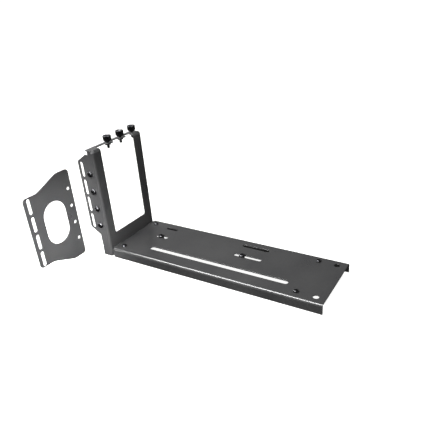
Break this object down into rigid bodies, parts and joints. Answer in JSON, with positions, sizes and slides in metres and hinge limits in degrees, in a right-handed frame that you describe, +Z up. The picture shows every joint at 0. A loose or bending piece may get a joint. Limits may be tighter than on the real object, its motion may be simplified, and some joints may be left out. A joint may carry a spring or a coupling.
{
  "type": "gpu support stand",
  "caption": "Folded steel base channel with an upright windowed bracket frame, slotted wing, loose adapter plate and thumbscrews, to hold a graphics card upright.",
  "frame": {"origin": "middle of the whole set's outline, on the surface that its feet stand on", "axes": "+X along the base away from the upright frame, +Y from the base's front lip to its rear lip, +Z up"},
  "size_m": [0.292, 0.148, 0.1336],
  "materials": {
    "black_sheet_steel": "satin black powder coat",
    "black_screw_steel": "black oxide",
    "black_rubber": "matt"
  },
  "bodies": {
    "root": {"base_plate": "black_sheet_steel", "io_frame": "black_sheet_steel", "adapter_plate": "black_sheet_steel", "thumb_screws": "black_screw_steel", "adapter_screws": "black_screw_steel", "riser_screws": "black_screw_steel", "riser_nuts": "black_screw_steel", "foot_screws": "black_screw_steel", "frame_screws": "black_screw_steel", "frame_nuts": "black_screw_steel", "rubber_foot_front_left": "black_rubber", "rubber_foot_front_right": "black_rubber", "rubber_foot_rear_left": "black_rubber", "rubber_foot_rear_right": "black_rubber"}
  },
  "joints": []
}
